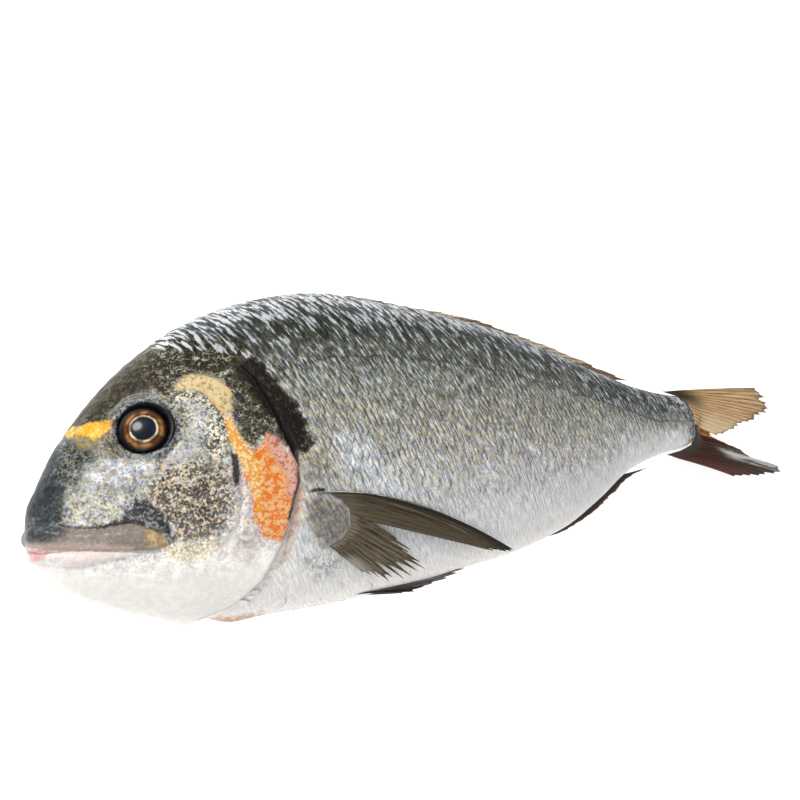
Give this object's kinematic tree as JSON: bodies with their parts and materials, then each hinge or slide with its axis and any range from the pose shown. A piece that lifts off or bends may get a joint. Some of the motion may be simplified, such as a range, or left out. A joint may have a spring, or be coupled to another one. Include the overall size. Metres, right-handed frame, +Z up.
{
  "type": "gilthead sea bream",
  "caption": "Whole deep-bodied sea fish lying on its right side, with folded fins, lidless round eyes and a forked tail, resting on a pressed-flat flank.",
  "frame": {"origin": "middle of the bounding box, at the height of the surface the fish lies on", "axes": "+X from the snout to the tail, +Y from the belly to the back, +Z up and out of the left flank"},
  "size_m": [0.2982, 0.1004, 0.0451],
  "materials": {
    "skin": "wet scales, satin to glossy",
    "eye": "wet gloss"
  },
  "bodies": {
    "root": {"bream": "skin", "eye_left": "eye", "eye_right": "eye"}
  },
  "joints": []
}
